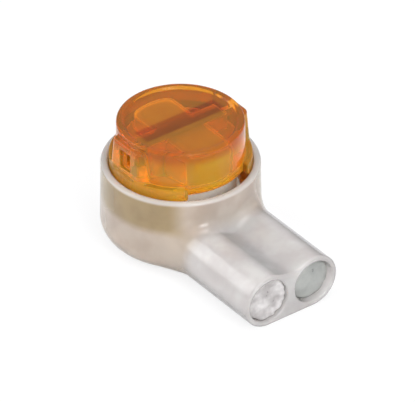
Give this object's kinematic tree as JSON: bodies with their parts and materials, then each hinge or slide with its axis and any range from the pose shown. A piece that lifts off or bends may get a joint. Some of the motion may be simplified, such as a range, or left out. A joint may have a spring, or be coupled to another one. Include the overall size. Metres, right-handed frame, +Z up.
{
  "type": "gel-filled wire connector",
  "caption": "Two-port butt connector: a clear cup with two wire ports, gel inside, and an amber cap that presses a slotted contact onto both wires.",
  "frame": {"origin": "on the flat underside, on the axis of the round cup", "axes": "+Z up along the cap's travel, -Y out of the two wire ports, X along the contact from one port to the other"},
  "size_m": [0.0102, 0.0166, 0.0086],
  "materials": {
    "milky_polypropylene": "translucent, moulded",
    "amber_polycarbonate": "clear, moulded",
    "tinned_brass": "tin plated",
    "clear_gel": "soft, cloudy"
  },
  "bodies": {
    "housing_body": {"housing": "milky_polypropylene", "gel": "clear_gel"},
    "cap_body": {"cap": "amber_polycarbonate", "contact": "tinned_brass"}
  },
  "joints": [
    {"name": "cap_press", "type": "slide", "parent": "housing_body", "child": "cap_body", "axis": [0, 0, -1], "range_m": [0, 0.00255], "deforming": ["gel"]}
  ]
}
